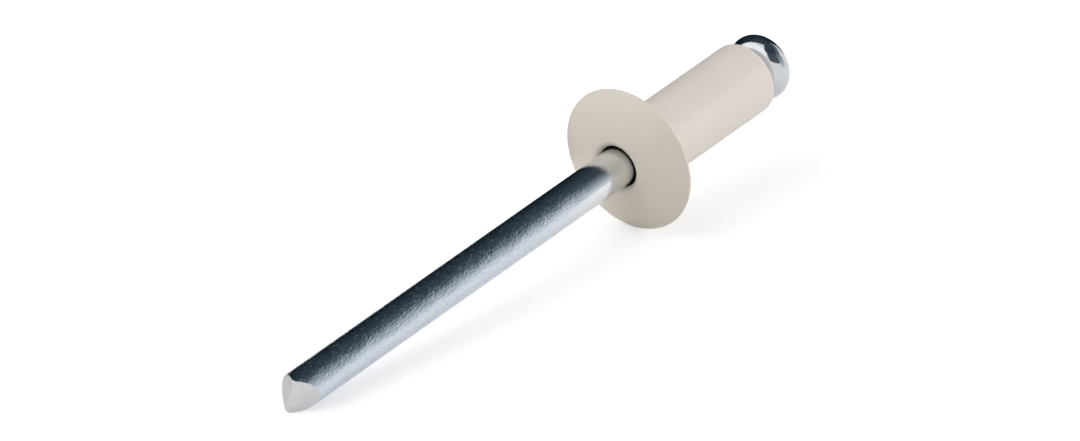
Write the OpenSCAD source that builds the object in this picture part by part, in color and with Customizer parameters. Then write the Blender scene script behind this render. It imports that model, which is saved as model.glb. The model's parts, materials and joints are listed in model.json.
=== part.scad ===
// Open-end blind rivet with a domed flange, lying at rest on a flat surface.
//
// The sleeve and its flange are one headed aluminium piece with a bore right
// through. The mandrel is one steel pin: pinch-cut point, plain shank, notched
// neck and upset round head.
//
// Each piece is drawn about its own axis, Z: Z = 0 is the underside of the
// flange, +Z runs toward the mandrel head and -Z toward the point. laid_down()
// then turns both together, so that the rivet rests on the rim of its flange
// and on the lowest edge of its point, with the head end toward +X.

/* [Sleeve] */
// Outside diameter of the sleeve, the rivet's nominal diameter
body_d = 4; // [3.6:0.1:5.2]
// Length of the sleeve, from the underside of the flange to its free end
body_l = 10; // [5:0.5:20]
// Radius of the fillet between the sleeve and the underside of the flange
seat_fillet = 0.25; // [0.1:0.05:0.5]
// Radius that rounds the outer edge of the sleeve's free end
end_round = 0.3; // [0.1:0.05:0.4]
// Chamfer of the bore at the sleeve's free end
bore_chamfer = 0.1; // [0.05:0.05:0.2]

/* [Flange] */
// Diameter of the flange
flange_d = 8; // [6.6:0.1:12]
// Height of the dome, from the underside of the flange to its top
dome_h = 1.4; // [0.9:0.1:2.2]
// Thickness of the flange at its rim, which is rounded right over
rim_t = 0.25; // [0.15:0.05:0.5]
// Radius that rounds the mouth of the bore in the dome
mouth_round = 0.3; // [0.1:0.05:0.5]

/* [Mandrel] */
// Diameter of the mandrel's shank
mandrel_d = 2.1; // [1.7:0.05:2.4]
// Length of the mandrel that stands out beyond the dome
mandrel_out = 27.25; // [18:0.25:40]
// Gap all round between the shank and the bore of the sleeve
bore_clearance = 0.125; // [0.05:0.025:0.2]
// Slope of the point's steeper flat, away from a square cut
point_slope_a = 49; // [30:1:60]
// Slope of the point's shallower flat, away from a square cut
point_slope_b = 35; // [20:1:60]
// Turn of the point's ridge about the mandrel's axis, away from upright
point_turn = 16; // [0:1:30]

/* [Mandrel head] */
// How far the head's edge stands in from the sleeve's side, to pass the same hole
head_inset = 0.175; // [0.1:0.025:0.4]
// Length of the head along the mandrel
head_l = 2.1; // [1.6:0.05:2.6]
// Fullness of the head's edge: its radius as a share of half the head's length
head_fullness = 0.74; // [0.5:0.02:0.84]
// Gap between the sleeve's free end and the head
head_gap = 0.15; // [0.1:0.05:1]
// Radius of the fillet between the neck and the head
head_fillet = 0.2; // [0.1:0.05:0.3]
// Number of break notches around the neck
notch_count = 4; // [2:1:4]
// Depth of each break notch
notch_depth = 0.22; // [0.1:0.02:0.3]
// Distance from the head's fillet back to the middle of the break notches
notch_back = 0.33; // [0.3:0.01:0.6]

/* [Hidden] */
$fn = 96;
// How far a cutter runs past the face that it opens
over = 1;

// Sleeve and flange
body_r = body_d / 2;
mandrel_r = mandrel_d / 2;
bore_r = mandrel_r + bore_clearance;
rim_r = rim_t / 2;
// Centre of the rounded rim, in the flange's own section
rim_c = [flange_d / 2 - rim_r, -rim_r];
// The dome passes through its top and runs tangent into the rounded rim
dome_rise = dome_h - rim_r;
dome_r = (rim_c.x ^ 2 + dome_rise ^ 2 - rim_r ^ 2) / (2 * (dome_rise - rim_r));
dome_c = [0, dome_r - dome_h];
// Centre of the rounding that runs from the dome into the bore
mouth_x = bore_r + mouth_round;
mouth_c = [mouth_x, dome_c.y - sqrt((dome_r - mouth_round) ^ 2 - mouth_x ^ 2)];

// Mandrel
mandrel_l = mandrel_out + dome_h;
head_r = body_r - head_inset;
head_front = body_l + head_gap;
head_mid = head_front + head_l / 2;
// The head's section is an oval of four arcs: a broad one front and back, and
// a small one around the edge, tangent to both
edge_r = head_fullness * head_l / 2;
edge_c = [head_r - edge_r, head_mid];
face_back = (edge_c.x ^ 2 - (head_l / 2 - edge_r) ^ 2) / (2 * (head_l / 2 - edge_r));
face_r = face_back + head_l / 2;
// Where the broad arcs hand over to the edge, off the axis
face_x = face_r * edge_c.x / (face_r - edge_r);
// Centre of the arc at the front of the head, and of the fillet that meets it
front_c = [0, head_mid + face_back];
fillet_x = mandrel_r + head_fillet;
fillet_c = [fillet_x, front_c.y - sqrt((face_r + head_fillet) ^ 2 - fillet_x ^ 2)];

// Rest: the rivet leans until the rim of the flange and the point both touch.
// low_turn is where around the shank the point touches, at the end of the ridge
// or on the edge of the steeper flat, and low_retreat how far back from the
// ridge that is.
function low_turn(lean) =
    let (rise = tan(point_slope_a) * tan(lean))
    min(point_turn, atan2(rise * cos(point_turn), 1 - rise * sin(point_turn)));
function low_retreat(lean) =
    mandrel_r * tan(point_slope_a) * sin(point_turn - low_turn(lean));
function lean_from(lean) =
    let (
        along = mandrel_l - low_retreat(lean) - rim_r,
        across = rim_c.x - mandrel_r * cos(low_turn(lean))
    )
    atan2(across, along) + asin(rim_r / norm([along, across]));
function settled(lean, rounds) =
    rounds == 0 ? lean : settled(lean_from(lean), rounds - 1);

lean = settled(0, 12);
rest_z = rim_c.x * cos(lean) + rim_r * sin(lean) + rim_r;
point_x = -mandrel_l * cos(lean) - mandrel_r * cos(point_turn) * sin(lean);
head_x = (head_mid - face_back) * cos(lean) + face_r;
rest_x = -(point_x + head_x) / 2;

// Lays a piece that is drawn about Z down into its place at rest
module laid_down() {
    translate([rest_x, 0, rest_z])
        rotate([0, 90 - lean, 0])
            children();
}

// Half section of the flange: the dome, the flat underside and the round rim
module flange_section() {
    rim_way = (rim_c - dome_c) / (dome_r - rim_r);
    rim_out = dome_c + rim_way * (dome_r + over);
    intersection() {
        translate(dome_c)
            circle(dome_r);
        polygon([
            [0, 0], [rim_c.x, 0], rim_c, rim_out,
            [rim_out.x, -dome_h - over], [0, -dome_h - over]
        ]);
    }
    translate(rim_c)
        circle(rim_r);
}

// Half section of the fillet between the sleeve and the flange
module seat_fillet_section() {
    difference() {
        square([body_r + seat_fillet, seat_fillet]);
        translate([body_r + seat_fillet, seat_fillet])
            circle(seat_fillet);
    }
}

// The sharp corner between the dome and the bore, outside its rounding
module mouth_corner() {
    mouth_way = (mouth_c - dome_c) / (dome_r - mouth_round);
    mouth_out = dome_c + mouth_way * (dome_r + over);
    polygon([
        [bore_r - over, mouth_c.y], mouth_c, mouth_out, [bore_r - over, mouth_out.y]
    ]);
}

// Half section of the sleeve and its flange in one piece
module body_section() {
    end_c = [body_r - end_round, body_l - end_round];
    difference() {
        union() {
            flange_section();
            seat_fillet_section();
            square([body_r, body_l]);
        }
        translate([0, -dome_h - over])
            square([bore_r, dome_h + body_l + 2 * over]);
        mouth_corner();
        translate(end_c)
            square(end_round + over);
        polygon([
            [bore_r - over, body_l - bore_chamfer], [bore_r, body_l - bore_chamfer],
            [bore_r + bore_chamfer, body_l], [bore_r + bore_chamfer, body_l + over],
            [bore_r - over, body_l + over]
        ]);
    }
    translate(mouth_c)
        circle(mouth_round);
    translate(end_c)
        circle(end_round);
}

// Sleeve and domed flange
module rivet_body() {
    color([0.86, 0.81, 0.76])
        laid_down()
            rotate_extrude()
                body_section();
}

// Half section of the mandrel head, an oval of four tangent arcs
module head_section() {
    intersection() {
        union() {
            intersection() {
                translate(front_c)
                    circle(face_r);
                translate([0, head_mid - face_back])
                    circle(face_r);
                translate([0, head_front - over])
                    square([face_x, head_l + 2 * over]);
            }
            translate(edge_c)
                circle(edge_r);
        }
        translate([0, head_front - over])
            square([head_r + over, head_l + 2 * over]);
    }
}

// Half section of the fillet between the neck and the head. Its outer side runs
// through the point where the fillet meets the head, and on inside the head.
module head_fillet_section() {
    inside = (head_mid - fillet_c.y) / (front_c.y - fillet_c.y);
    difference() {
        polygon([
            [0, fillet_c.y], fillet_c,
            fillet_c + (front_c - fillet_c) * inside, [0, head_mid]
        ]);
        translate(fillet_c)
            circle(head_fillet);
    }
}

// V notches pinched into the neck, where the mandrel breaks when it is set
module break_notches() {
    notch_cut = 2 * notch_depth;
    for (i = [0 : notch_count - 1])
        rotate([0, 0, i * 360 / notch_count])
            translate([mandrel_r - notch_depth, 0, fillet_c.y - notch_back])
                rotate([90, 0, 0])
                    linear_extrude(height = mandrel_d, center = true)
                        polygon([[0, 0], [notch_cut, -notch_cut], [notch_cut, notch_cut]]);
}

// A block whose top face is the flat that a cutter's jaw leaves on the point
module jaw_cut(slope) {
    jaw = 4 * mandrel_d;
    rotate([slope, 0, 0])
        translate([-jaw / 2, -jaw / 2, -jaw])
            cube(jaw);
}

// Mandrel: point, shank, notched neck and head
module mandrel() {
    color([0.75, 0.78, 0.82])
        laid_down()
            difference() {
                rotate_extrude() {
                    translate([0, -mandrel_l])
                        square([mandrel_r, mandrel_l + head_mid]);
                    head_section();
                    head_fillet_section();
                }
                break_notches();
                translate([0, 0, -mandrel_l])
                    rotate([0, 0, point_turn]) {
                        jaw_cut(-point_slope_a);
                        jaw_cut(point_slope_b);
                    }
            }
}

rivet_body();
mandrel();
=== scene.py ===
"""Looks of a blind rivet that lies on its side: painted sleeve, plated mandrel, plain studio.

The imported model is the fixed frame. Both pieces of the rivet are turned parts, so each
is drawn as a half section, spun about the rivet's own axis and laid into the frame by the
frame's mounts. Sizes are in millimetres about that axis, with 0 at the underside of the
flange and + toward the mandrel's head. Meshes and places in the frame are in metres.
"""

from __future__ import annotations

import json
import logging
import math
from dataclasses import dataclass
from enum import Enum
from typing import Any

import bmesh
import bpy
from mathutils import Matrix, Vector

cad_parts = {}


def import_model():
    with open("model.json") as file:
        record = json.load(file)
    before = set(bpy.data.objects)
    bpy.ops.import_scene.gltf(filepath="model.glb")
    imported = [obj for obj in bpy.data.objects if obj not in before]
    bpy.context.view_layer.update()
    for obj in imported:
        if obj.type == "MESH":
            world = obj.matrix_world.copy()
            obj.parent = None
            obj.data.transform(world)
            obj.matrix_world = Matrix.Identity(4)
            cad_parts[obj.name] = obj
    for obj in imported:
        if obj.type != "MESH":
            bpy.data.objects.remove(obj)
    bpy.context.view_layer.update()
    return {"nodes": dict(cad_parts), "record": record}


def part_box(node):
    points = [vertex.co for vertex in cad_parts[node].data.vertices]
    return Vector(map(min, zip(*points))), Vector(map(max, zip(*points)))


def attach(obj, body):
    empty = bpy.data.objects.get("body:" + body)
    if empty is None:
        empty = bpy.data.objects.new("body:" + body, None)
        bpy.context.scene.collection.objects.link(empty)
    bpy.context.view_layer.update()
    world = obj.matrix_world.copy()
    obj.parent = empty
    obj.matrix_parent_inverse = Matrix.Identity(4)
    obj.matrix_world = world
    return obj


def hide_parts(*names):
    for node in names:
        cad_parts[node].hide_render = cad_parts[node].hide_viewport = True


LOG = logging.getLogger("blind_rivet")
# One millimetre, in metres
MM = 0.001
# Points of a turned mesh that lie closer together than this are one, in millimetres
WELD = 1e-4
# Edges that turn by more than this stay sharp
SHARP_TURN = math.radians(40.0)
# A face with more corners than this is one of the flats of the mandrel's point
FLAT_CORNERS = 8
# How strongly the small marks show in a slow, cloudy change of tone or gloss
CLOUD_DETAIL = 0.6

Point = tuple[float, float]
Span = tuple[float, float]
Colour = tuple[float, float, float]

NONE_TO_ALL: Span = (0.0, 1.0)
ALL_TO_NONE: Span = (1.0, 0.0)
BLACK = (0.0, 0.0, 0.0, 1.0)
WHITE = (1.0, 1.0, 1.0, 1.0)
# Tones at which neighbouring cards around the rivet meet, linear
SLATE: Colour = (0.31, 0.35, 0.39)
MIDNIGHT: Colour = (0.03, 0.045, 0.06)


# --------------------------------------------------------------------- place


@dataclass(frozen=True)
class Lay:
    """How the rivet lies in the frame.

    Attributes:
        seat: Point where the rivet's axis passes the underside of the flange, in metres.
        way: Unit vector along the axis, toward the mandrel's head.
    """

    seat: Vector
    way: Vector

    @classmethod
    def from_record(cls, record: dict[str, Any]) -> Lay:
        """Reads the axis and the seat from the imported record's mounts.

        Args:
            record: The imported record.

        Returns:
            The rivet's lay.
        """
        mounts = {mount["name"]: mount for mount in record["mounts"]}
        way = Vector(mounts["sleeve"]["axis"]).normalized()
        on_axis = Vector(mounts["sleeve"]["pos_m"])
        on_seat = Vector(mounts["flange_seat"]["pos_m"])
        return cls(on_axis + way * (on_seat - on_axis).dot(way), way)

    def turn(self) -> Matrix:
        """Finds how the rivet's own axes turn into the frame's.

        Returns:
            The rotation, with its columns pointing down, across and along the rivet.
        """
        across = Vector((0.0, 1.0, 0.0))
        down = across.cross(self.way)
        return Matrix((down, across, self.way)).transposed()

    def matrix(self) -> Matrix:
        """Gives the matrix from millimetres about the axis to metres in the frame."""
        return Matrix.Translation(self.seat) @ self.turn().to_4x4() @ Matrix.Scale(MM, 4)


# ------------------------------------------------------------------- turning


class Lathe:
    """A half section in the X-Z plane that grows point by point and is then turned about Z.

    X is the distance from the axis and Z the place along it, in millimetres.
    """

    # A round stretch turns by at most this much from one point to the next
    ARC_STEP = math.radians(4.0)

    def __init__(self, start: Point) -> None:
        """Sets the tool to the section's first point.

        Args:
            start: The first point.
        """
        self.bm = bmesh.new()
        made = bmesh.ops.create_vert(self.bm, co=(start[0], 0.0, start[1]))
        self.tip = made["vert"][0]

    def line(self, end: Point, pieces: int = 1) -> None:
        """Cuts a straight stretch.

        Args:
            end: Where the stretch ends.
            pieces: How many equal pieces to cut it in.
        """
        start = self.tip.co.copy()
        for i in range(pieces):
            made = bmesh.ops.extrude_vert_indiv(self.bm, verts=[self.tip])
            self.tip = made["verts"][0]
            self.tip.co = start.lerp((end[0], 0.0, end[1]), (i + 1) / pieces)

    def arc(self, centre: Point, end: Point) -> None:
        """Cuts a round stretch, the short way about its centre.

        Args:
            centre: The arc's centre.
            end: A point in the direction where the arc ends, seen from its centre.
        """
        first = math.atan2(self.tip.co.z - centre[1], self.tip.co.x - centre[0])
        last = math.atan2(end[1] - centre[1], end[0] - centre[0])
        sweep = math.remainder(first - last, math.tau)
        made = bmesh.ops.spin(
            self.bm,
            geom=[self.tip],
            cent=(centre[0], 0.0, centre[1]),
            axis=(0.0, 1.0, 0.0),
            angle=sweep,
            steps=max(2, math.ceil(abs(sweep) / self.ARC_STEP)),
            use_merge=False,
            use_duplicate=False,
        )
        self.tip = next(v for v in made["geom_last"] if isinstance(v, bmesh.types.BMVert))

    def turned(self, steps: int) -> bmesh.types.BMesh:
        """Turns the section right round the axis.

        Args:
            steps: Flats around the piece.

        Returns:
            The closed, turned mesh, with its faces pointing outwards.
        """
        bmesh.ops.spin(
            self.bm,
            geom=self.bm.verts[:] + self.bm.edges[:],
            cent=(0.0, 0.0, 0.0),
            axis=(0.0, 0.0, 1.0),
            angle=math.tau,
            steps=steps,
            use_merge=True,
            use_duplicate=False,
        )
        bmesh.ops.remove_doubles(self.bm, verts=self.bm.verts[:], dist=WELD)
        bmesh.ops.recalc_face_normals(self.bm, faces=self.bm.faces[:])
        return self.bm


def toward(centre: Point, other: Point, distance: float) -> Point:
    """Finds the point at a distance from a centre, in the direction of another point.

    Args:
        centre: Where to measure from.
        other: The point that gives the direction.
        distance: How far to go.

    Returns:
        The point found.
    """
    run, rise = other[0] - centre[0], other[1] - centre[1]
    share = distance / math.hypot(run, rise)
    return centre[0] + run * share, centre[1] + rise * share


def linked_object(name: str, bm: bmesh.types.BMesh) -> bpy.types.Object:
    """Makes a mesh an object of the scene, at the origin.

    Args:
        name: The object's name, and its mesh's.
        bm: The mesh, in metres. It is freed.

    Returns:
        The new object.
    """
    mesh = bpy.data.meshes.new(name)
    bm.to_mesh(mesh)
    bm.free()
    made = bpy.data.objects.new(name, mesh)
    bpy.context.scene.collection.objects.link(made)
    return made


def finished_piece(name: str, bm: bmesh.types.BMesh, lay: Lay) -> bpy.types.Object:
    """Lays a mesh into the frame and makes it a smooth-shaded piece of the rivet.

    Args:
        name: The piece's name.
        bm: The mesh about the rivet's axis, in millimetres. It is freed.
        lay: How the rivet lies in the frame.

    Returns:
        The new piece.
    """
    bmesh.ops.transform(bm, matrix=lay.matrix(), verts=bm.verts[:])
    piece = linked_object(name, bm)
    piece.data.shade_smooth()
    piece.data.set_sharp_from_angle(angle=SHARP_TURN)
    weighted = piece.modifiers.new("even_shading", "WEIGHTED_NORMAL")
    weighted.keep_sharp = True
    return piece


# ------------------------------------------------------------------ finishes


class Wiring:
    """A node tree with short ways to add nodes and join them."""

    def __init__(self, tree: bpy.types.NodeTree) -> None:
        """Takes the tree to work on."""
        self.tree = tree

    def node(self, kind: str, label: str, **inputs: Any) -> bpy.types.Node:
        """Adds a node.

        Args:
            kind: Blender's name for the node type.
            label: What the node is for.
            **inputs: Values or sockets for its inputs, by input name with _ for a space.

        Returns:
            The new node.
        """
        made = self.tree.nodes.new(kind)
        made.label = label
        for name, value in inputs.items():
            self.feed(made.inputs[name.replace("_", " ")], value)
        return made

    def feed(self, socket: bpy.types.NodeSocket, value: Any) -> None:
        """Sets an input to a value, or joins a socket to it.

        Args:
            socket: The input.
            value: The value or socket.
        """
        if isinstance(value, bpy.types.NodeSocket):
            self.tree.links.new(value, socket)
        else:
            socket.default_value = value

    def maths(self, operation: str, first: Any, second: Any = 0.0) -> bpy.types.NodeSocket:
        """Adds a Math node and gives its result.

        Args:
            operation: Blender's name for the operation.
            first: First value or socket.
            second: Second value or socket.

        Returns:
            The node's output.
        """
        made = self.tree.nodes.new("ShaderNodeMath")
        made.operation = operation
        self.feed(made.inputs[0], first)
        self.feed(made.inputs[1], second)
        return made.outputs[0]

    def remap(self, value: Any, given: Span, wanted: Span) -> bpy.types.NodeSocket:
        """Adds a clamped Map Range node and gives its result.

        Args:
            value: The value or socket to map.
            given: Its two ends.
            wanted: What they become.

        Returns:
            The node's output.
        """
        made = self.tree.nodes.new("ShaderNodeMapRange")
        made.clamp = True
        for name, number in zip(("From Min", "From Max", "To Min", "To Max"), (*given, *wanted)):
            made.inputs[name].default_value = number
        self.feed(made.inputs["Value"], value)
        return made.outputs["Result"]

    def mix(self, share: Any, first: Any, second: Any) -> bpy.types.NodeSocket:
        """Mixes two colours.

        Args:
            share: How much of the second colour shows, a value or socket from 0 to 1.
            first: First colour or socket.
            second: Second colour or socket.

        Returns:
            The mixed colour's output.
        """
        made = self.tree.nodes.new("ShaderNodeMix")
        made.data_type = "RGBA"
        made.clamp_factor = True
        # A Mix node's colour sockets share their names with its others, so they go by number
        self.feed(made.inputs[0], share)
        for socket, colour in ((made.inputs[6], first), (made.inputs[7], second)):
            self.feed(socket, (*colour, 1.0) if isinstance(colour, tuple) else colour)
        return made.outputs[2]

    def drawn_out(self, place: Any, along: float) -> bpy.types.NodeSocket:
        """Draws a pattern out along the rivet's axis.

        Args:
            place: The place about the axis to change.
            along: How many times longer the pattern is along the axis than across it.

        Returns:
            The changed place.
        """
        stretch = (1.0, 1.0, 1.0 / along)
        made = self.node("ShaderNodeMapping", "drawn out", Vector=place, Scale=stretch)
        return made.outputs["Vector"]

    def effect(self, group: bpy.types.ShaderNodeTree, **inputs: Any) -> bpy.types.NodeSocket:
        """Places an effect group.

        Args:
            group: The group.
            **inputs: Values or sockets for its inputs, by input name.

        Returns:
            The group's first output.
        """
        made = self.tree.nodes.new("ShaderNodeGroup")
        made.node_tree = group
        for name, value in inputs.items():
            self.feed(made.inputs[name], value)
        return made.outputs[0]


class GroupSocket(Enum):
    """Kinds of socket on the shared effect groups."""

    VECTOR = "NodeSocketVector"
    NUMBER = "NodeSocketFloat"


def effect_group(
    name: str, takes: dict[str, GroupSocket], gives: dict[str, GroupSocket]
) -> tuple[Wiring, bpy.types.Node, bpy.types.Node]:
    """Starts a shader node group with named inputs and outputs.

    Args:
        name: The group's name.
        takes: Its inputs.
        gives: Its outputs.

    Returns:
        The group's wiring, its input node and its output node.
    """
    tree = bpy.data.node_groups.new(name, "ShaderNodeTree")
    for side, sockets in (("INPUT", takes), ("OUTPUT", gives)):
        for label, kind in sockets.items():
            tree.interface.new_socket(name=label, in_out=side, socket_type=kind.value)
    wiring = Wiring(tree)
    source = wiring.node("NodeGroupInput", "inputs")
    sink = wiring.node("NodeGroupOutput", "outputs")
    return wiring, source, sink


def grain_group(layers: float = 2.5) -> bpy.types.ShaderNodeTree:
    """Builds the grain that paint, plate and sheared steel share.

    Args:
        layers: How many times ever finer marks are laid over the coarsest ones.

    Returns:
        A group that takes a Place in millimetres, a Size of grain and the strength of its
        finer marks as Detail, and gives a Height.
    """
    wiring, source, sink = effect_group(
        "fine_grain",
        {"Place": GroupSocket.VECTOR, "Size": GroupSocket.NUMBER, "Detail": GroupSocket.NUMBER},
        {"Height": GroupSocket.NUMBER},
    )
    pitch = wiring.maths("DIVIDE", 1.0, source.outputs["Size"])
    noise = wiring.node(
        "ShaderNodeTexNoise",
        "grain",
        Vector=source.outputs["Place"],
        Scale=pitch,
        Detail=layers,
        Roughness=source.outputs["Detail"],
    )
    wiring.feed(sink.inputs["Height"], noise.outputs["Fac"])
    return wiring.tree


def scratch_group(shown: Span = (0.5, 0.6)) -> bpy.types.ShaderNodeTree:
    """Builds the sparse hairline scratches that the plated finishes share.

    Args:
        shown: Where a slow noise starts to let the scratches show, and where they show
            in full.

    Returns:
        A group that takes a Place in millimetres, a Spacing and a Width, and gives a Mask.
    """
    wiring, source, sink = effect_group(
        "hairline_scratches",
        {"Place": GroupSocket.VECTOR, "Spacing": GroupSocket.NUMBER, "Width": GroupSocket.NUMBER},
        {"Mask": GroupSocket.NUMBER},
    )
    pitch = wiring.maths("DIVIDE", 1.0, source.outputs["Spacing"])
    cells = wiring.node(
        "ShaderNodeTexVoronoi",
        "cell edges",
        Vector=source.outputs["Place"],
        Scale=pitch,
        Randomness=1.0,
    )
    cells.feature = "DISTANCE_TO_EDGE"
    near = wiring.maths("DIVIDE", cells.outputs["Distance"], source.outputs["Width"])
    line = wiring.maths("SUBTRACT", 1.0, wiring.maths("MINIMUM", near, 1.0))
    breaks = wiring.node(
        "ShaderNodeTexNoise", "where scratches show", Vector=source.outputs["Place"], Scale=pitch
    )
    kept = wiring.remap(breaks.outputs["Fac"], shown, NONE_TO_ALL)
    wiring.feed(sink.inputs["Mask"], wiring.maths("MULTIPLY", line, kept))
    return wiring.tree


@dataclass(frozen=True)
class Finishes:
    """What every finish on the rivet starts from.

    Attributes:
        lay: How the rivet lies in the frame, for patterns that follow its axis.
        grain: The shared grain group.
        scratches: The shared scratch group.
    """

    lay: Lay
    grain: bpy.types.ShaderNodeTree
    scratches: bpy.types.ShaderNodeTree

    def start(
        self, name: str
    ) -> tuple[bpy.types.Material, Wiring, bpy.types.Node, bpy.types.NodeSocket]:
        """Starts a material.

        Args:
            name: The material's name.

        Returns:
            The material, its wiring, its Principled shader and the place about the
            rivet's axis, in millimetres.
        """
        material = bpy.data.materials.new(name)
        material.use_nodes = True
        wiring = Wiring(material.node_tree)
        shader = material.node_tree.nodes["Principled BSDF"]
        corner = wiring.node("ShaderNodeTexCoord", "object place")
        place = wiring.node(
            "ShaderNodeMapping",
            "about the rivet's axis, in mm",
            Vector=corner.outputs["Object"],
            Location=self.lay.seat,
            Rotation=self.lay.turn().to_euler(),
            Scale=(MM, MM, MM),
        )
        place.vector_type = "TEXTURE"
        return material, wiring, shader, place.outputs["Vector"]


@dataclass(frozen=True)
class SatinPaint:
    """Beige satin paint on the sleeve and its flange.

    Colours are linear, and lengths and places along the axis are in millimetres.

    Attributes:
        colour: The paint's colour on the sleeve.
        dome_shade_colour: A warmer tint of it on the dome, painted shade for the warmer shading
            there.
        dome_shade_span: Where along the axis that warmer tint gives way to the sleeve's colour.
        cloud_size: Size of the slow cloud in which the coat's thickness changes.
        thin_colour: The paint's colour where it lies thinnest.
        thin_span: Values of the cloud between which the paint thins out.
        thin_share: How much of the thin colour shows at most.
        end_light_colour: A paler tone painted over the cut end: a painted highlight along its rim,
            and painted light on the end face that the head shades.
        end_light_span: Where along the axis that painted light comes in.
        bore_shade_colour: The bare aluminium of the bore, painted dark brown as painted shade
            inside the bore.
        bore_r: Radius up to which the aluminium is bare.
        bore_roughness: How matt the bare aluminium is.
        roughness: How matt the paint is.
        roughness_change: How much more or less matt it gets.
        gloss_span: Values of the cloud between which that changes.
        peel_size: Size of the paint's orange peel.
        peel_detail: How strongly the peel's smaller marks show, from 0 to 1.
        peel_depth: Depth of the peel.
        peel_strength: How much of the peel shows, from 0 to 1.
        refraction: Index of refraction of the paint.
    """

    colour: Colour = (0.70, 0.645, 0.595)
    # Painted shade: the dome is tinted warmer than the sleeve, for the warmer shading it takes.
    dome_shade_colour: Colour = (0.71, 0.65, 0.57)
    dome_shade_span: Span = (-0.15, 0.1)
    cloud_size: float = 3.0
    thin_colour: Colour = (0.64, 0.58, 0.52)
    thin_span: Span = (0.35, 0.65)
    thin_share: float = 0.35
    # Painted light: a paler tone on the cut end, for the highlight along its rim and the light on
    # the end face under the head.
    end_light_colour: Colour = (0.86, 0.82, 0.80)
    end_light_span: Span = (9.86, 9.96)
    # Painted shade: the bore's bare aluminium is painted dark brown for the shade inside it.
    bore_shade_colour: Colour = (0.30, 0.27, 0.23)
    bore_r: float = 1.18
    bore_roughness: float = 0.5
    roughness: float = 0.42
    roughness_change: float = 0.03
    gloss_span: Span = (0.3, 0.7)
    peel_size: float = 0.45
    peel_detail: float = 0.4
    peel_depth: float = 0.004
    peel_strength: float = 0.6
    refraction: float = 1.5

    def material(self, finishes: Finishes) -> bpy.types.Material:
        """Makes the paint's material.

        Args:
            finishes: What every finish starts from.

        Returns:
            The material.
        """
        material, wiring, shader, place = finishes.start("satin_beige_paint")
        split = wiring.node("ShaderNodeSeparateXYZ", "place along the axis", Vector=place)
        along = split.outputs["Z"]
        cloud = wiring.effect(
            finishes.grain, Place=place, Size=self.cloud_size, Detail=CLOUD_DETAIL
        )

        # The dome's warmer tint is painted shade.
        sleeve = wiring.remap(along, self.dome_shade_span, NONE_TO_ALL)
        thin = wiring.remap(cloud, self.thin_span, (0.0, self.thin_share))
        # The pale cut end is painted light: a highlight along its rim and light on the end face
        # that the head shades.
        edge = wiring.remap(along, self.end_light_span, NONE_TO_ALL)
        coat = wiring.mix(sleeve, self.dome_shade_colour, self.colour)
        coat = wiring.mix(thin, coat, self.thin_colour)
        coat = wiring.mix(edge, coat, self.end_light_colour)

        # Inside the bore the bare metal's colour is painted shade.
        across = wiring.maths("POWER", split.outputs["X"], 2.0)
        across = wiring.maths("ADD", across, wiring.maths("POWER", split.outputs["Y"], 2.0))
        bore = wiring.maths("LESS_THAN", across, self.bore_r**2)
        wiring.feed(shader.inputs["Base Color"], wiring.mix(bore, coat, self.bore_shade_colour))
        wiring.feed(shader.inputs["Metallic"], bore)

        limits = (self.roughness - self.roughness_change, self.roughness + self.roughness_change)
        gloss = wiring.remap(cloud, self.gloss_span, limits)
        rougher = wiring.maths("MULTIPLY", bore, self.bore_roughness - self.roughness)
        wiring.feed(shader.inputs["Roughness"], wiring.maths("ADD", gloss, rougher))

        peel = wiring.effect(
            finishes.grain, Place=place, Size=self.peel_size, Detail=self.peel_detail
        )
        bump = wiring.node(
            "ShaderNodeBump",
            "orange peel",
            Height=peel,
            Strength=self.peel_strength,
            Distance=self.peel_depth * MM,
        )
        wiring.feed(shader.inputs["Normal"], bump.outputs["Normal"])
        wiring.feed(shader.inputs["IOR"], self.refraction)
        return material


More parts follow.
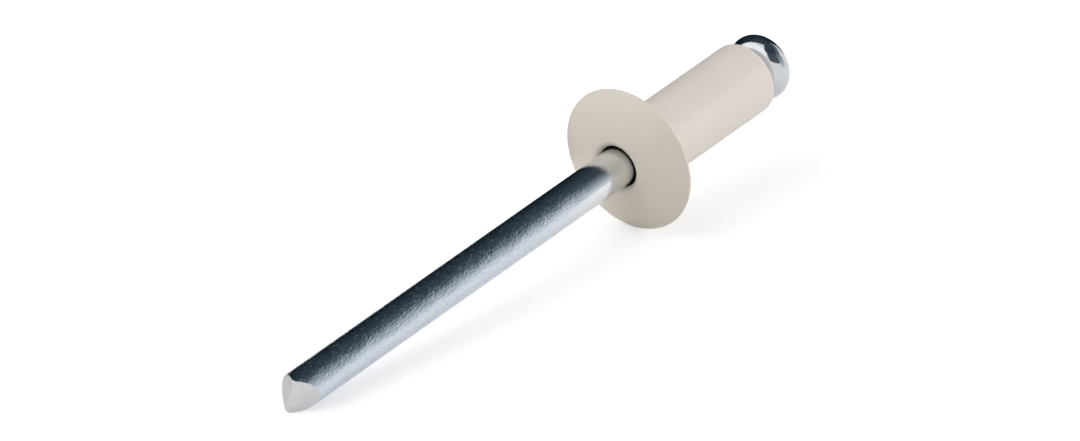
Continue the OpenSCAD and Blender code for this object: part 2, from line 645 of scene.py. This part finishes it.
@dataclass(frozen=True)
class BarePlate:
    """Bright zinc plate on steel.

    Colours are linear, and lengths and places along the axis are in millimetres. The
    sizes of grain, ripple and specks are those across the axis.

    Attributes:
        name: The material's name.
        colour: The plate's colour.
        dome_reflection_colour: A brighter tone painted on the plate near the flange, a painted
            reflection of the lit dome.
        dome_reflection_span: Where along the axis that painted reflection starts, and where it is
            full.
        roughness: How matt the plate is.
        roughness_change: How much less and how much more matt it gets.
        cloud_size: Size of the slow cloud in which that changes.
        gloss_span: Values of the cloud between which it changes.
        drawn_out: How many times longer the plate's marks are along the axis than across it.
        grain_size: Size of its grain.
        grain_detail: How strongly the grain's smaller marks show, from 0 to 1.
        grain_depth: Depth of the grain.
        smooth_from: How far into that bright stretch the grain starts to go, from 0 to 1.
        least_grain: How much of the grain is left where the bright stretch is full.
        ripple_size: Size of the drawn wire's slow ripple.
        ripple_detail: How strongly the ripple's smaller marks show, from 0 to 1.
        ripple_share: How many times deeper the ripple is than the grain.
        speck_size: Size of the plate's matt specks.
        speck_span: Values of their noise between which the specks come out.
        speck_depth: How much rougher the specks are.
        speckless_from: How far into that bright stretch the last specks are gone, from 0 to 1.
        scratch_spacing: Distance between its hairline scratches.
        scratch_width: Width of a scratch, as a share of that distance.
        scratch_depth: How much rougher the scratches are.
    """

    name: str
    colour: Colour = (0.63, 0.68, 0.745)
    # Painted reflection: a brighter plate near the flange, for the lit dome's reflection in it.
    dome_reflection_colour: Colour = (0.76, 0.785, 0.80)
    dome_reflection_span: Span = (-8.5, -3.9)
    roughness: float = 0.07
    roughness_change: Span = (-0.02, 0.04)
    cloud_size: float = 1.5
    gloss_span: Span = (0.3, 0.7)
    drawn_out: float = 1.8
    grain_size: float = 0.13
    grain_detail: float = 0.72
    grain_depth: float = 0.038
    smooth_from: float = 0.5
    least_grain: float = 0.12
    ripple_size: float = 0.7
    ripple_detail: float = 0.3
    ripple_share: float = 1.5
    speck_size: float = 0.17
    speck_span: Span = (0.49, 0.66)
    speck_depth: float = 0.36
    speckless_from: float = 0.8
    scratch_spacing: float = 1.4
    scratch_width: float = 0.02
    scratch_depth: float = 0.0

    def material(self, finishes: Finishes) -> bpy.types.Material:
        """Makes the plate's material.

        Args:
            finishes: What every finish starts from.

        Returns:
            The material.
        """
        material, wiring, shader, place = finishes.start(self.name)
        split = wiring.node("ShaderNodeSeparateXYZ", "place along the axis", Vector=place)
        # Painted reflection: near the flange the plate is painted brighter, for the lit dome's
        # reflection in it; there its grain and specks also fade.
        near_dome = wiring.remap(split.outputs["Z"], self.dome_reflection_span, NONE_TO_ALL)
        wiring.feed(shader.inputs["Base Color"], wiring.mix(near_dome, self.colour, self.dome_reflection_colour))
        shader.inputs["Metallic"].default_value = 1.0

        drawn = wiring.drawn_out(place, self.drawn_out)
        grain = wiring.effect(
            finishes.grain, Place=drawn, Size=self.grain_size, Detail=self.grain_detail
        )
        ripple = wiring.effect(
            finishes.grain, Place=drawn, Size=self.ripple_size, Detail=self.ripple_detail
        )
        relief = wiring.maths("ADD", grain, wiring.maths("MULTIPLY", ripple, self.ripple_share))
        bump = wiring.node(
            "ShaderNodeBump",
            "plated grain",
            Height=relief,
            Strength=wiring.remap(near_dome, (self.smooth_from, 1.0), (1.0, self.least_grain)),
            Distance=self.grain_depth * MM,
        )
        wiring.feed(shader.inputs["Normal"], bump.outputs["Normal"])

        cloud = wiring.effect(
            finishes.grain, Place=place, Size=self.cloud_size, Detail=CLOUD_DETAIL
        )
        less, more = self.roughness_change
        gloss = wiring.remap(cloud, self.gloss_span, (self.roughness + less, self.roughness + more))
        lines = wiring.effect(
            finishes.scratches, Place=place, Spacing=self.scratch_spacing, Width=self.scratch_width
        )
        spots = wiring.effect(
            finishes.grain, Place=drawn, Size=self.speck_size, Detail=self.grain_detail
        )
        specks = wiring.remap(spots, self.speck_span, (0.0, self.speck_depth))
        far_from_dome = wiring.remap(near_dome, (0.0, self.speckless_from), ALL_TO_NONE)
        dull = wiring.maths("MULTIPLY", lines, self.scratch_depth)
        dull = wiring.maths("ADD", dull, wiring.maths("MULTIPLY", specks, far_from_dome))
        wiring.feed(shader.inputs["Roughness"], wiring.maths("ADD", gloss, dull))
        return material


# -------------------------------------------------------------------- pieces


@dataclass
class RivetBody:
    """The sleeve and its domed flange, one headed piece with a bore right through.

    All sizes are in millimetres.

    Attributes:
        finishes: What every finish starts from.
        paint: The piece's paint.
        sleeve_r: Outside radius of the sleeve.
        flange_r: Radius of the flange.
        sleeve_l: Length of the sleeve, from the underside of the flange to its free end.
        seat_fillet: Radius of the fillet between the sleeve and the flange.
        end_round: Radius of the free end's outer edge.
        bore_r: Radius of the bore.
        bore_chamfer: Chamfer of the bore at the free end.
        dome_h: Height of the dome, from the underside of the flange.
        rim_r: Radius of the flange's round rim.
        mouth_round: Radius between the dome and the bore.
        around: Flats around the piece.
    """

    finishes: Finishes
    paint: SatinPaint
    sleeve_r: float
    flange_r: float
    sleeve_l: float = 10.0
    seat_fillet: float = 0.25
    end_round: float = 0.3
    bore_r: float = 1.175
    bore_chamfer: float = 0.1
    dome_h: float = 1.4
    rim_r: float = 0.125
    mouth_round: float = 0.3
    around: int = 256

    def section(self) -> Lathe:
        """Draws the half section, from the bore round the outside and back.

        Returns:
            The lathe with the closed section.
        """
        rim_c = (self.flange_r - self.rim_r, -self.rim_r)
        rise = self.dome_h - self.rim_r
        dome_r = (rim_c[0] ** 2 + rise**2 - self.rim_r**2) / (2.0 * (rise - self.rim_r))
        dome_c = (0.0, dome_r - self.dome_h)
        mouth_x = self.bore_r + self.mouth_round
        mouth_c = (mouth_x, dome_c[1] - math.sqrt((dome_r - self.mouth_round) ** 2 - mouth_x**2))
        end_c = (self.sleeve_r - self.end_round, self.sleeve_l - self.end_round)
        fillet_c = (self.sleeve_r + self.seat_fillet, self.seat_fillet)
        start = (self.bore_r, self.sleeve_l - self.bore_chamfer)

        lathe = Lathe(start)
        lathe.line((self.bore_r + self.bore_chamfer, self.sleeve_l))
        lathe.line((end_c[0], self.sleeve_l))
        lathe.arc(end_c, (self.sleeve_r, end_c[1]))
        lathe.line((self.sleeve_r, fillet_c[1]))
        lathe.arc(fillet_c, (fillet_c[0], 0.0))
        lathe.line((rim_c[0], 0.0))
        lathe.arc(rim_c, toward(dome_c, rim_c, dome_r))
        lathe.arc(dome_c, toward(dome_c, mouth_c, dome_r))
        lathe.arc(mouth_c, (self.bore_r, mouth_c[1]))
        lathe.line(start)
        return lathe

    def build(self) -> bpy.types.Object:
        """Turns and paints the piece.

        Returns:
            The piece.
        """
        bm = self.section().turned(self.around)
        piece = finished_piece("painted_rivet_body", bm, self.finishes.lay)
        piece.data.materials.append(self.paint.material(self.finishes))
        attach(piece, "root")
        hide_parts("rivet_body")
        return piece


class MandrelFace(Enum):
    """The stretches of the mandrel that have a finish of their own, by material slot."""

    SHANK = 0
    HEAD = 1
    POINT = 2


@dataclass
class Mandrel:
    """The pull pin: pinch-cut point, drawn shank, notched neck and upset head.

    All sizes are in millimetres and angles in degrees.

    Attributes:
        finishes: What every finish starts from.
        plates: The finish of each stretch.
        head_r: Radius of the head.
        sleeve_l: Length of the sleeve that the head stands behind.
        shank_r: Radius of the shank.
        point_at: Where along the axis the point's ridge lies.
        point_slopes: Slopes of the point's two flats, away from a square cut.
        point_turn: Turn of the ridge about the axis, away from upright.
        point_round: Radius of the edges around the flats.
        round_steps: Flats across each of those rounded edges.
        head_gap: Gap between the sleeve's free end and the head.
        head_l: Length of the head.
        head_fullness: Radius of the head's edge, as a share of half the head's length.
        head_fillet: Radius of the fillet between the neck and the head.
        notches: Number of break notches around the neck.
        notch_depth: Depth of each notch.
        notch_back: Distance from the head's fillet back to the middle of the notches.
        neck_rows: Rows of faces along the neck, for the notches to press into.
        around: Flats around the piece.
        corner_round: Radius of the corner that the blank has before its point is cut.
        spare: How far the blank runs past the ridge.
    """

    finishes: Finishes
    plates: dict[MandrelFace, BarePlate]
    head_r: float
    sleeve_l: float = 10.0
    shank_r: float = 1.05
    point_at: float = -28.65
    point_slopes: tuple[float, float] = (49.0, 35.0)
    point_turn: float = 16.0
    point_round: float = 0.05
    round_steps: int = 3
    head_gap: float = 0.15
    head_l: float = 2.1
    head_fullness: float = 0.74
    head_fillet: float = 0.2
    notches: int = 4
    notch_depth: float = 0.22
    notch_back: float = 0.33
    neck_rows: int = 40
    around: int = 192
    corner_round: float = 0.15
    spare: float = 0.002

    def section(self) -> tuple[Lathe, float]:
        """Draws the half section, from the point to the far end of the head.

        Returns:
            The lathe with the section, and where along the axis the head's fillet starts.
        """
        front = self.sleeve_l + self.head_gap
        middle = front + self.head_l / 2.0
        # The head's section is an oval: a broad arc on each side, with its centre on the
        # axis, and a small one around the edge that runs on from both
        edge_r = self.head_fullness * self.head_l / 2.0
        edge_c = (self.head_r - edge_r, middle)
        rest = self.head_l / 2.0 - edge_r
        back = (edge_c[0] ** 2 - rest**2) / (2.0 * rest)
        face_r = back + self.head_l / 2.0
        front_c = (0.0, middle + back)
        back_c = (0.0, middle - back)
        fillet_x = self.shank_r + self.head_fillet
        fillet_drop = math.sqrt((face_r + self.head_fillet) ** 2 - fillet_x**2)
        fillet_c = (fillet_x, front_c[1] - fillet_drop)
        neck_start = fillet_c[1] - 2.0 * self.notch_back

        blank_end = self.point_at - self.spare
        corner_c = (self.shank_r - self.corner_round, blank_end + self.corner_round)
        lathe = Lathe((0.0, blank_end))
        lathe.line((corner_c[0], blank_end))
        lathe.arc(corner_c, (self.shank_r, corner_c[1]))
        lathe.line((self.shank_r, neck_start))
        lathe.line((self.shank_r, fillet_c[1]), pieces=self.neck_rows)
        lathe.arc(fillet_c, toward(front_c, fillet_c, face_r))
        lathe.arc(front_c, toward(front_c, edge_c, face_r))
        lathe.arc(edge_c, toward(back_c, edge_c, face_r))
        lathe.arc(back_c, (0.0, front + self.head_l))
        return lathe, fillet_c[1]

    def press_notches(self, bm: bmesh.types.BMesh, middle: float) -> None:
        """Presses the V notches into the neck.

        Args:
            bm: The turned mandrel.
            middle: Where along the axis the notches lie.
        """
        # A notch's two sides rise at 45 degrees from its floor
        for i in range(self.notches):
            way = Matrix.Rotation(math.tau * i / self.notches, 3, "Z") @ Vector((1.0, 0.0, 0.0))
            for vert in bm.verts:
                floor = self.shank_r - self.notch_depth + abs(vert.co.z - middle)
                out = vert.co.dot(way) - floor
                if out > 0.0 and abs(vert.co.z - middle) < self.notch_depth:
                    vert.co -= way * out

    def pinch_point(self, bm: bmesh.types.BMesh) -> None:
        """Shears the point to a blunt ridge and softens its edges.

        Args:
            bm: The turned mandrel.
        """
        turn = Matrix.Rotation(math.radians(self.point_turn), 3, "Z")
        tip = Vector((0.0, 0.0, self.point_at))
        for slope, side in zip(self.point_slopes, (-1.0, 1.0)):
            lean = Matrix.Rotation(math.radians(slope) * side, 3, "X")
            outward = turn @ lean @ Vector((0.0, 0.0, -1.0))
            cut = bmesh.ops.bisect_plane(
                bm,
                geom=bm.verts[:] + bm.edges[:] + bm.faces[:],
                dist=WELD,
                plane_co=tip,
                plane_no=outward,
                clear_outer=True,
            )
            rim = [e for e in cut["geom_cut"] if isinstance(e, bmesh.types.BMEdge)]
            bmesh.ops.contextual_create(bm, geom=rim)
        around_flats = [
            e for e in bm.edges if any(len(f.verts) > FLAT_CORNERS for f in e.link_faces)
        ]
        bmesh.ops.bevel(
            bm,
            geom=around_flats,
            offset=self.point_round,
            offset_type="OFFSET",
            segments=self.round_steps,
            profile=0.5,
            affect="EDGES",
            clamp_overlap=True,
            material=-1,
        )

    def build(self) -> bpy.types.Object:
        """Turns, notches, shears and plates the piece.

        Returns:
            The piece.
        """
        lathe, fillet_start = self.section()
        bm = lathe.turned(self.around)
        self.press_notches(bm, fillet_start - self.notch_back)
        self.pinch_point(bm)
        bmesh.ops.recalc_face_normals(bm, faces=bm.faces[:])
        for face in bm.faces:
            place = face.calc_center_median()
            if place.z > fillet_start:
                face.material_index = MandrelFace.HEAD.value
            elif len(face.verts) > FLAT_CORNERS:
                face.material_index = MandrelFace.POINT.value
        piece = finished_piece("plated_mandrel", bm, self.finishes.lay)
        for part in MandrelFace:
            piece.data.materials.append(self.plates[part].material(self.finishes))
        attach(piece, "root")
        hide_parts("mandrel")
        return piece


# -------------------------------------------------------------------- studio


def direction(azimuth: float, elevation: float) -> Vector:
    """Gives the unit vector toward a compass direction.

    Args:
        azimuth: Degrees from +X, counterclockwise seen from above.
        elevation: Degrees above the table.

    Returns:
        The unit vector.
    """
    turn, rise = math.radians(azimuth), math.radians(elevation)
    return Vector(
        (math.cos(turn) * math.cos(rise), math.sin(turn) * math.cos(rise), math.sin(rise))
    )


@dataclass(frozen=True)
class SoftBox:
    """A soft light that faces the rivet, and isn't itself seen in what that reflects.

    Angles are in degrees, lengths in metres.

    Attributes:
        name: The light's name.
        azimuth: Its compass direction from the rivet.
        elevation: Its height above the table, as an angle.
        distance: How far away it is.
        width: Its width.
        height: Its height.
        radiance: How bright its face is, where 1 is white.
    """

    name: str
    azimuth: float
    elevation: float
    distance: float
    width: float
    height: float
    radiance: float

    def hang(self) -> None:
        """Adds the light to the scene."""
        lamp = bpy.data.lights.new(self.name, "AREA")
        lamp.shape = "RECTANGLE"
        lamp.size, lamp.size_y = self.width, self.height
        lamp.energy = self.radiance * math.pi * self.width * self.height
        light = bpy.data.objects.new(self.name, lamp)
        way = direction(self.azimuth, self.elevation)
        light.location = way * self.distance
        light.rotation_euler = way.to_track_quat("Z", "Y").to_euler()
        light.visible_camera = False
        light.visible_glossy = False
        bpy.context.scene.collection.objects.link(light)


def glowing_finish(name: str) -> tuple[bpy.types.Material, Wiring, bpy.types.Node]:
    """Starts a finish that shows its Emission Color and takes no light.

    Args:
        name: The material's name.

    Returns:
        The material, its wiring and its Principled shader.
    """
    material = bpy.data.materials.new(name)
    material.use_nodes = True
    shader = material.node_tree.nodes["Principled BSDF"]
    shader.inputs["Base Color"].default_value = BLACK
    shader.inputs["Specular IOR Level"].default_value = 0.0
    shader.inputs["Emission Strength"].default_value = 1.0
    return material, Wiring(material.node_tree), shader


def stage_card(name: str, bm: bmesh.types.BMesh, material: bpy.types.Material) -> None:
    """Puts a card on the stage that shows only in what the rivet reflects.

    Args:
        name: The card's name.
        bm: Its mesh, in metres. It is freed.
        material: What it shows.
    """
    card = linked_object(name, bm)
    card.data.materials.append(material)
    card.visible_camera = False
    card.visible_diffuse = False
    card.visible_transmission = False
    card.visible_shadow = False


@dataclass(frozen=True)
class Card:
    """A curved card around the rivet, dark or light, seen only in what the rivet reflects.

    Attributes:
        name: The card's name.
        around: Compass directions of its two ends, in degrees.
        rise: Its lower and upper edges, as angles above the table in degrees.
        low_colour: What it shows at its lower edge, linear.
        high_colour: What it shows at its upper edge, linear.
        distance: How far away it is, in metres.
        rows: Rows of faces up the card.
        columns: Columns of faces along it.
    """

    name: str
    around: Span
    rise: Span
    low_colour: Colour
    high_colour: Colour
    distance: float = 2.0
    rows: int = 12
    columns: int = 48

    def stand(self) -> None:
        """Adds the card to the scene."""
        start, end = self.around
        low, high = self.rise
        bm = bmesh.new()
        corner = bmesh.ops.create_vert(bm, co=direction(start, low) * self.distance)
        level = direction(start - 90.0, 0.0)
        bmesh.ops.spin(
            bm,
            geom=corner["vert"],
            cent=(0.0, 0.0, 0.0),
            axis=level,
            angle=math.radians(high - low),
            steps=self.rows,
        )
        bmesh.ops.spin(
            bm,
            geom=bm.verts[:] + bm.edges[:],
            cent=(0.0, 0.0, 0.0),
            axis=(0.0, 0.0, 1.0),
            angle=math.radians(end - start),
            steps=self.columns,
        )
        stage_card(self.name, bm, self.material())

    def material(self) -> bpy.types.Material:
        """Makes the card's finish, which shades from its lower to its upper edge.

        Returns:
            The material.
        """
        material, wiring, shader = glowing_finish(self.name)
        corner = wiring.node("ShaderNodeTexCoord", "object place")
        split = wiring.node("ShaderNodeSeparateXYZ", "height", Vector=corner.outputs["Object"])
        bottom, top = (self.distance * math.sin(math.radians(edge)) for edge in self.rise)
        height = wiring.remap(split.outputs["Z"], (bottom, top), NONE_TO_ALL)
        shade = wiring.mix(height, self.low_colour, self.high_colour)
        wiring.feed(shader.inputs["Emission Color"], shade)
        return material


@dataclass(frozen=True)
class Cloth:
    """A dark cloth on the table behind the rivet, seen only in what the rivet reflects.

    Lengths are in metres.

    Attributes:
        name: The cloth's name.
        near: Distance from the rivet's axis to the cloth's near edge.
        half: Half the cloth's width and length.
        lift: Height of the cloth above the table.
        colour: What it shows, linear.
    """

    name: str = "dark_cloth"
    near: float = 0.008
    half: float = 2.0
    lift: float = 0.0002
    colour: Colour = (0.004, 0.010, 0.013)

    def lay(self) -> None:
        """Lays the cloth on the table."""
        bm = bmesh.new()
        bmesh.ops.create_grid(bm, x_segments=1, y_segments=1, size=self.half)
        middle = Vector((0.0, self.near + self.half, self.lift))
        bmesh.ops.translate(bm, vec=middle, verts=bm.verts[:])
        stage_card(self.name, bm, self.material())

    def material(self) -> bpy.types.Material:
        """Makes the cloth's finish.

        Returns:
            The material.
        """
        material, _, shader = glowing_finish(self.name)
        shader.inputs["Emission Color"].default_value = (*self.colour, 1.0)
        return material


@dataclass
class Studio:
    """A plain pale table under soft lights, with dark and light cards around it.

    The table and the world look white to the eye and in reflections. Lengths are in
    metres.

    Attributes:
        floor_half: Half the table's width and length.
        floor_colour: The table's colour, linear.
        floor_glow: How much brighter it looks to the eye than it is lit.
        floor_shine: How much brighter it looks in reflections than it is lit.
        floor_roughness: How matt it is.
        floor_specular: How strongly it reflects.
        world_strength: How bright the world is as a light, where it looks 1.
        boxes: The soft lights.
        cards: The cards.
        cloth: The dark cloth.
    """

    floor_half: float = 6.0
    floor_colour: Colour = (0.8, 0.8, 0.8)
    floor_glow: float = 0.35
    floor_shine: float = 0.22
    floor_roughness: float = 0.9
    floor_specular: float = 0.1
    world_strength: float = 0.5
    boxes: tuple[SoftBox, ...] = (
        SoftBox(
            "overhead_softbox",
            azimuth=138.0,
            elevation=47.0,
            distance=1.0,
            width=1.3,
            height=0.9,
            radiance=1.75,
        ),
        SoftBox(
            "low_side_softbox",
            azimuth=-41.0,
            elevation=17.0,
            distance=1.2,
            width=1.3,
            height=0.6,
            radiance=4.0,
        ),
    )
    cards: tuple[Card, ...] = (
        Card(
            "side_card",
            around=(-78.0, -38.0),
            rise=(0.5, 28.0),
            low_colour=(0.78, 0.83, 0.90),
            high_colour=SLATE,
        ),
        Card(
            "right_card",
            around=(-78.0, 4.0),
            rise=(28.0, 52.0),
            low_colour=SLATE,
            high_colour=MIDNIGHT,
        ),
        Card(
            "far_card",
            around=(4.0, 105.0),
            rise=(0.0, 52.0),
            low_colour=(0.002, 0.009, 0.013),
            high_colour=MIDNIGHT,
        ),
        Card(
            "ceiling_card",
            around=(-162.0, 112.0),
            rise=(52.0, 90.0),
            low_colour=(0.04, 0.06, 0.08),
            high_colour=(0.05, 0.07, 0.09),
        ),
        Card(
            "window_card",
            around=(112.0, 198.0),
            rise=(8.0, 64.0),
            low_colour=(1.30, 1.30, 1.30),
            high_colour=(1.35, 1.35, 1.35),
        ),
        Card(
            "near_card",
            around=(-150.0, -78.0),
            rise=(18.0, 52.0),
            low_colour=(0.12, 0.14, 0.16),
            high_colour=(0.06, 0.09, 0.115),
        ),
    )
    cloth: Cloth = Cloth()

    @staticmethod
    def seen_directly(wiring: Wiring) -> bpy.types.NodeSocket:
        """Tells what is seen from what only gives light.

        Args:
            wiring: The wiring to add the nodes to.

        Returns:
            An output that is 1 to the eye, in reflections and through glass, and else 0.
        """
        path = wiring.node("ShaderNodeLightPath", "kind of ray")
        mirrored = wiring.maths(
            "MAXIMUM", path.outputs["Is Glossy Ray"], path.outputs["Is Transmission Ray"]
        )
        return wiring.maths("MAXIMUM", path.outputs["Is Camera Ray"], mirrored)

    def world(self) -> None:
        """Makes the world white to the eye and in reflections, and gentle as a light."""
        world = bpy.data.worlds.new("white_room")
        bpy.context.scene.world = world
        world.use_nodes = True
        wiring = Wiring(world.node_tree)
        shine = world.node_tree.nodes["Background"]
        seen = self.seen_directly(wiring)
        strength = wiring.remap(seen, NONE_TO_ALL, (self.world_strength, 1.0))
        wiring.feed(shine.inputs["Strength"], strength)
        shine.inputs["Color"].default_value = WHITE

    def floor(self) -> None:
        """Lays the pale table."""
        bm = bmesh.new()
        bmesh.ops.create_grid(bm, x_segments=1, y_segments=1, size=self.floor_half)
        table = linked_object("table_top", bm)
        material = bpy.data.materials.new("pale_table")
        material.use_nodes = True
        wiring = Wiring(material.node_tree)
        shader = material.node_tree.nodes["Principled BSDF"]
        shader.inputs["Base Color"].default_value = (*self.floor_colour, 1.0)
        shader.inputs["Roughness"].default_value = self.floor_roughness
        shader.inputs["Specular IOR Level"].default_value = self.floor_specular
        shader.inputs["Emission Color"].default_value = WHITE
        path = wiring.node("ShaderNodeLightPath", "kind of ray")
        glow = wiring.maths("MULTIPLY", path.outputs["Is Camera Ray"], self.floor_glow)
        shine = wiring.maths("MULTIPLY", path.outputs["Is Glossy Ray"], self.floor_shine)
        wiring.feed(shader.inputs["Emission Strength"], wiring.maths("ADD", glow, shine))
        table.data.materials.append(material)

    def build(self) -> None:
        """Sets up the world, the table, the lights and the cards."""
        self.world()
        self.floor()
        for box in self.boxes:
            box.hang()
        for card in self.cards:
            card.stand()
        self.cloth.lay()


@dataclass(frozen=True)
class Viewpoint:
    """Where the camera stands.

    Angles are in degrees, lengths in metres.

    Attributes:
        azimuth: Its compass direction from the rivet.
        elevation: Its height above the table, as an angle.
        distance: How far from the rivet it stands.
        view_width: Width of what it sees at that distance.
        sensor: Width of its sensor, in millimetres.
        clip_share: How many times nearer and farther than the rivet it still sees.
    """

    azimuth: float = -142.4
    elevation: float = 24.9
    distance: float = 0.8
    view_width: float = 0.0557
    sensor: float = 36.0
    clip_share: float = 100.0

    def build(self, points: list[Vector]) -> None:
        """Makes the camera, with the rivet in the middle of its view.

        Args:
            points: Points of the rivet, in the frame.
        """
        back = direction(self.azimuth, self.elevation)
        right = direction(self.azimuth + 90.0, 0.0)
        up = back.cross(right)
        target = Vector()
        for way in (right, up, back):
            places = [point.dot(way) for point in points]
            target += way * (min(places) + max(places)) / 2.0
        lens = bpy.data.cameras.new("camera")
        lens.sensor_width = self.sensor
        lens.lens = self.sensor * self.distance / self.view_width
        lens.clip_start = self.distance / self.clip_share
        lens.clip_end = self.distance * self.clip_share
        camera = bpy.data.objects.new("camera", lens)
        camera.location = target + back * self.distance
        camera.rotation_euler = back.to_track_quat("Z", "Y").to_euler()
        bpy.context.scene.collection.objects.link(camera)
        bpy.context.scene.camera = camera


# ---------------------------------------------------------------------- main


def main() -> None:
    """Builds the rivet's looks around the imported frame."""
    logging.basicConfig(level=logging.INFO, format="%(name)s: %(message)s")
    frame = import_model()
    lay = Lay.from_record(frame["record"])
    mounts = {mount["name"]: mount for mount in frame["record"]["mounts"]}
    body_low, body_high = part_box("rivet_body")
    head_low, head_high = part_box("mandrel")
    points = [v.co.copy() for node in frame["nodes"].values() for v in node.data.vertices]

    finishes = Finishes(lay, grain_group(), scratch_group())
    body = RivetBody(
        finishes,
        SatinPaint(),
        sleeve_r=mounts["sleeve"]["dims"]["r_mm"],
        flange_r=(body_high.y - body_low.y) / 2.0 / MM,
    )
    mandrel = Mandrel(
        finishes,
        {
            MandrelFace.SHANK: BarePlate("drawn_zinc_plate"),
            MandrelFace.HEAD: BarePlate(
                "burnished_zinc_plate",
                # Painted shade: the head's plate is darker than the shank's, to dim its reflection
                # of the table.
                colour=(0.61, 0.63, 0.65),
                roughness=0.06,
                drawn_out=1.0,
                grain_size=0.8,
                grain_depth=0.012,
                ripple_share=0.0,
                scratch_depth=0.35,
                speck_depth=0.0,
                # Puts the painted reflection past the head, so the head has none.
                dome_reflection_span=(20.0, 30.0),
            ),
            MandrelFace.POINT: BarePlate(
                "sheared_steel",
                colour=(0.62, 0.63, 0.64),
                roughness=0.35,
                drawn_out=1.0,
                speck_depth=0.0,
            ),
        },
        head_r=(head_high.y - head_low.y) / 2.0 / MM,
    )
    for piece in (body.build(), mandrel.build()):
        LOG.info("%s: %d faces", piece.name, len(piece.data.polygons))

    Studio().build()
    Viewpoint().build(points)
    bpy.context.scene.view_settings.view_transform = "Standard"


if __name__ == "__main__":
    main()
